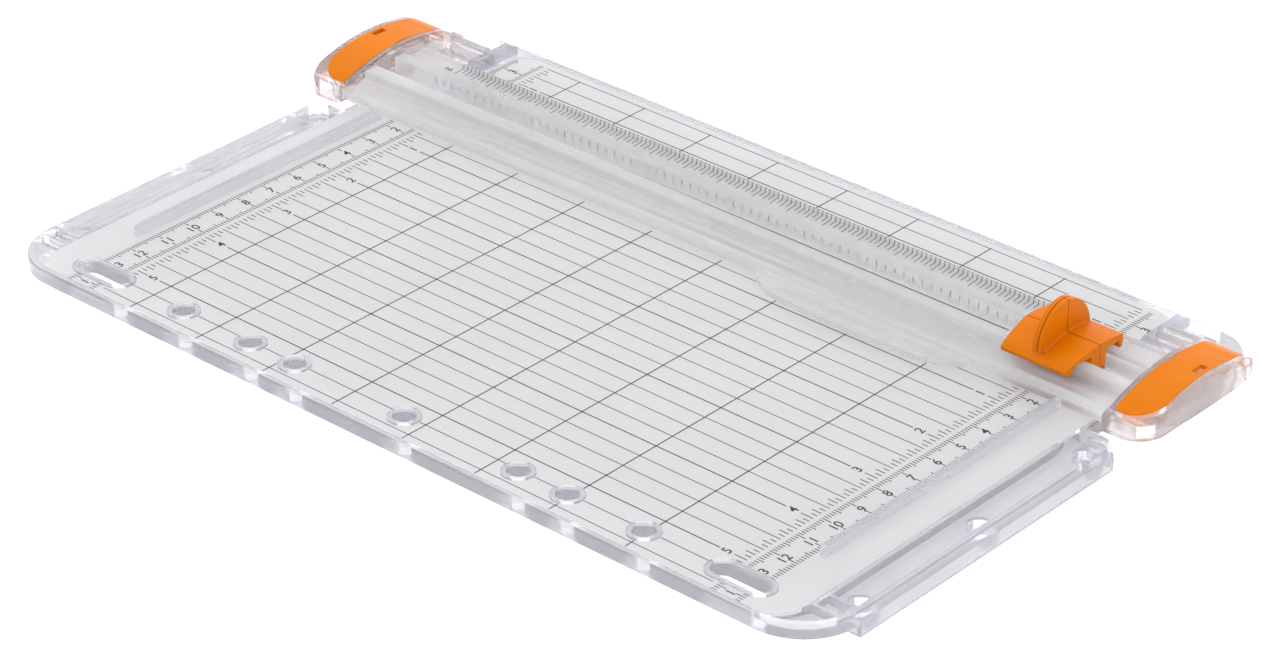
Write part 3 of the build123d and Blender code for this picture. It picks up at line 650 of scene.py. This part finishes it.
class Bead(Print):
    """Small concave fillets between the carriage's roof and the flanks of its fin."""

    RINGS = 15
    ROOT = 0.2 * MM  # how deep a fillet reaches into the roof and the fin

    def run(self, flank, way, y0, y1, radius):
        angles = [math.radians(a) for a in range(0, 91, 15)]
        profile = [(radius * (1 - math.sin(a)), radius * (1 - math.cos(a))) for a in angles]
        profile += [(-self.ROOT, radius), (-self.ROOT, -self.ROOT), (radius, -self.ROOT)]
        rings = []
        for i in range(self.RINGS):
            y = y0 + (y1 - y0) * i / (self.RINGS - 1)
            roof = top_at(flank + way * (radius + 0.1 * MM), y)
            rings.append(self.ring([(flank + way * u, y, roof + v) for u, v in profile]))
        for start, end in zip(rings[:-1], rings[1:]):
            self.wall(start, end)
        self.bm.faces.new(rings[0])
        self.bm.faces.new(rings[-1])


BEAD_RADIUS = 0.7 * MM
BEAD_RUNS = ((-9.9, -0.15), (0.15, 9.4))  # one on each shell, in mm from the cut line
bead = Bead()
for way in (-1, 1):
    flank = fin_side(deck_y(2), way)
    for start, end in BEAD_RUNS:
        bead.run(flank, way, deck_y(start), deck_y(end), BEAD_RADIUS)
bead.make("fin_root_bead", ORANGE, "carriage", "orange_plastic")

# ---------------------------------------------------------------- floor, light and camera
FLOOR = 3.0  # half its side, in metres
floor_mesh = bpy.data.meshes.new("floor")
floor_mesh.from_pydata(
    [(-FLOOR, -FLOOR, 0), (FLOOR, -FLOOR, 0), (FLOOR, FLOOR, 0), (-FLOOR, FLOOR, 0)], [], [(0, 1, 2, 3)]
)
floor = bpy.data.objects.new("floor", floor_mesh)
scene.collection.objects.link(floor)
floor_mesh.materials.append(FLOOR_PAPER)

# A studio that is brightest high up at the rear left.
BRIGHT_SIDE = Vector((-0.45, 0.55, 0.7))
DIM_STOP, DIM = 0.15, (0.67, 0.67, 0.68, 1)
BRIGHT_STOP = 0.8
world = bpy.data.worlds.new("studio")
scene.world = world
world.use_nodes = True
tree = world.node_tree
tree.nodes.clear()
back = tree.nodes.new("ShaderNodeBackground")
out = tree.nodes.new("ShaderNodeOutputWorld")
where = tree.nodes.new("ShaderNodeTexCoord")
facing = tree.nodes.new("ShaderNodeVectorMath")
facing.operation = "DOT_PRODUCT"
facing.inputs[1].default_value = BRIGHT_SIDE.normalized()
ramp = tree.nodes.new("ShaderNodeValToRGB")
spread = tree.nodes.new("ShaderNodeMapRange")
spread.inputs["From Min"].default_value = -1.0
tree.links.new(where.outputs["Generated"], facing.inputs[0])
tree.links.new(facing.outputs["Value"], spread.inputs["Value"])
tree.links.new(spread.outputs["Result"], ramp.inputs[0])
stops = ramp.color_ramp.elements
stops[0].position, stops[0].color = DIM_STOP, DIM
stops[1].position, stops[1].color = BRIGHT_STOP, WHITE
tree.links.new(ramp.outputs[0], back.inputs[0])
tree.links.new(back.outputs[0], out.inputs[0])


def softbox(name, place, size, watts):
    """A rectangular lamp aimed at the row's origin, unseen in reflections and through plastic."""
    light = bpy.data.lights.new(name, "AREA")
    light.shape = "RECTANGLE"
    light.size, light.size_y = size
    light.energy = watts
    lamp = bpy.data.objects.new(name, light)
    lamp.location = place
    lamp.rotation_euler = (-Vector(place)).to_track_quat("-Z", "Y").to_euler()
    lamp.visible_glossy = False
    lamp.visible_transmission = False
    scene.collection.objects.link(lamp)


softbox("key", (-0.7, 0.6, 1.3), (1.0, 0.9), 7)
softbox("back", (0.3, 1.3, 0.9), (1.6, 0.5), 3)

# The photo's camera, solved from where the lines of the printed inch grid cross on the deck.
AZIMUTH, ELEVATION, ROLL = (math.radians(v) for v in (41.274, 29.957, 0.313))
CAMERA_PLACE = (0.68353, -0.77102, 0.59110)
LENS, SENSOR = 123.49, 36.0
cos_a, sin_a = math.cos(AZIMUTH), math.sin(AZIMUTH)
cos_e, sin_e = math.cos(ELEVATION), math.sin(ELEVATION)
right = Vector((cos_a, sin_a, 0))
up = Vector((-sin_a * sin_e, cos_a * sin_e, cos_e))
away = Vector((sin_a * cos_e, -cos_a * cos_e, sin_e))
side = right * math.cos(ROLL) + up * math.sin(ROLL)
top = up * math.cos(ROLL) - right * math.sin(ROLL)
camera_data = bpy.data.cameras.new("camera")
camera_data.lens = LENS
camera_data.sensor_width = SENSOR
camera_data.clip_start = 0.05
camera = bpy.data.objects.new("camera", camera_data)
facing_out = Matrix((side, top, away)).transposed()
camera.matrix_world = Matrix.Translation(CAMERA_PLACE) @ facing_out.to_4x4()
scene.collection.objects.link(camera)
scene.camera = camera
scene.view_settings.view_transform = "Standard"
